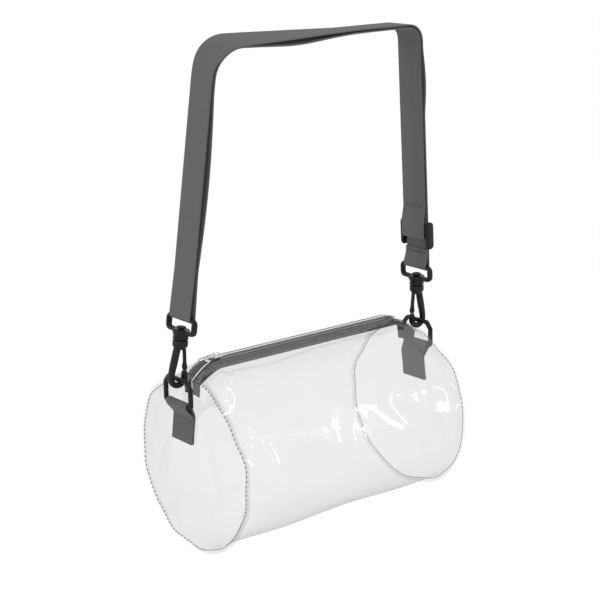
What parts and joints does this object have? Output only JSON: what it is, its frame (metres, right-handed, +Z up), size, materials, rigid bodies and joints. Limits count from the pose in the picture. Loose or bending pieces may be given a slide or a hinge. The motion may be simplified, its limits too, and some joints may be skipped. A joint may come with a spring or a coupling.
{
  "type": "clear barrel bag",
  "caption": "Clear film barrel bag with a zip top, sewn round ends, tabs with D-rings, swivel snap hooks and an adjustable webbing shoulder strap.",
  "frame": {"origin": "middle of the strap's carrying face, the underside of its top run, on which the whole bag hangs", "axes": "+X along the bag's axis from the zip's closed slider end to the tri-glide end, +Y across the strap, +Z up"},
  "size_m": [0.3, 0.162, 0.4457],
  "materials": {
    "film": "clear soft film, gloss",
    "webbing": "woven dark grey webbing, matt",
    "zip_tape": "woven tape, matt",
    "zip_coil": "moulded coil, satin",
    "bright_metal": "bright die-cast metal",
    "thread": "sewing thread",
    "black_plastic": "moulded acetal, soft gloss"
  },
  "bodies": {
    "strap": {"strap_webbing": "webbing", "strap_adjusting_run": "webbing", "strap_tack_tail": "thread"},
    "glide": {"tri_glide": "black_plastic", "strap_sewn_loop": "webbing", "strap_tack_loop": "thread"},
    "left_eye": {"swivel_eye_left": "black_plastic"},
    "right_eye": {"swivel_eye_right": "black_plastic"},
    "left_hook": {"hook_left": "black_plastic"},
    "right_hook": {"hook_right": "black_plastic"},
    "left_gate": {"gate_left": "black_plastic"},
    "right_gate": {"gate_right": "black_plastic"},
    "bag": {"body_panel": "film", "end_panel_left": "film", "end_panel_right": "film", "zipper_tape_front": "zip_tape", "zipper_tape_back": "zip_tape", "zipper_coil_front": "zip_coil", "zipper_coil_back": "zip_coil", "zipper_stitch_front": "thread", "zipper_stitch_back": "thread", "zipper_stop_left": "bright_metal", "zipper_stop_right": "bright_metal", "seam_thread_left": "thread", "seam_thread_right": "thread", "tab_left": "webbing", "tab_right": "webbing", "tab_stitch_left": "thread", "tab_stitch_right": "thread"},
    "left_ring": {"d_ring_left": "black_plastic"},
    "right_ring": {"d_ring_right": "black_plastic"},
    "slider": {"zipper_slider": "bright_metal"},
    "pull": {"zipper_pull": "bright_metal"}
  },
  "joints": [
    {"name": "bag_swing", "type": "hinge", "parent": "strap", "child": "bag", "pos_m": [0, 0, -0.2832], "axis": [1, 0, 0], "range_deg": [-45, 45]},
    {"name": "left_eye_tilt", "type": "hinge", "parent": "strap", "child": "left_eye", "pos_m": [-0.13312, 0, -0.22395], "axis": [0, -1, 0], "range_deg": [-1, 1]},
    {"name": "right_eye_tilt", "type": "hinge", "parent": "strap", "child": "right_eye", "pos_m": [0.13862, 0, -0.22352], "axis": [0, -1, 0], "range_deg": [-1, 1]},
    {"name": "left_hook_swivel", "type": "hinge", "parent": "left_eye", "child": "left_hook", "pos_m": [-0.14091, 0, -0.28314], "axis": [0.1305, 0, 0.9914], "range_deg": [-12, 12]},
    {"name": "right_hook_swivel", "type": "hinge", "parent": "right_eye", "child": "right_hook", "pos_m": [0.14018, 0, -0.2832], "axis": [-0.0262, 0, 0.9997], "range_deg": [-12, 12]},
    {"name": "left_gate_open", "type": "hinge", "parent": "left_hook", "child": "left_gate", "pos_m": [-0.13218, 0, -0.2505], "axis": [0, 1, 0], "range_deg": [0, 18], "stiffness_Nm_per_rad": 0.02, "springref_deg": -17.19},
    {"name": "right_gate_open", "type": "hinge", "parent": "right_hook", "child": "right_gate", "pos_m": [0.13491, 0, -0.24982], "axis": [0, -1, 0], "range_deg": [0, 18], "stiffness_Nm_per_rad": 0.02, "springref_deg": -17.19},
    {"name": "left_ring_tilt", "type": "hinge", "parent": "bag", "child": "left_ring", "pos_m": [-0.14, 0, -0.2998], "axis": [0, 1, 0], "range_deg": [-2.5, 2.5]},
    {"name": "right_ring_tilt", "type": "hinge", "parent": "bag", "child": "right_ring", "pos_m": [0.14, 0, -0.2998], "axis": [0, 1, 0], "range_deg": [-2.5, 2.5]},
    {"name": "glide_slide", "type": "slide", "parent": "strap", "child": "glide", "axis": [-0.0465, 0, 0.9989], "range_m": [0, 0.09], "deforming": ["strap_adjusting_run"]},
    {"name": "zipper_slide", "type": "slide", "parent": "bag", "child": "slider", "axis": [1, 0, 0], "range_m": [0, 0.195]},
    {"name": "pull_swing", "type": "hinge", "parent": "slider", "child": "pull", "pos_m": [-0.1005, 0, -0.2637], "axis": [0, 1, 0], "range_deg": [0, 150]}
  ]
}
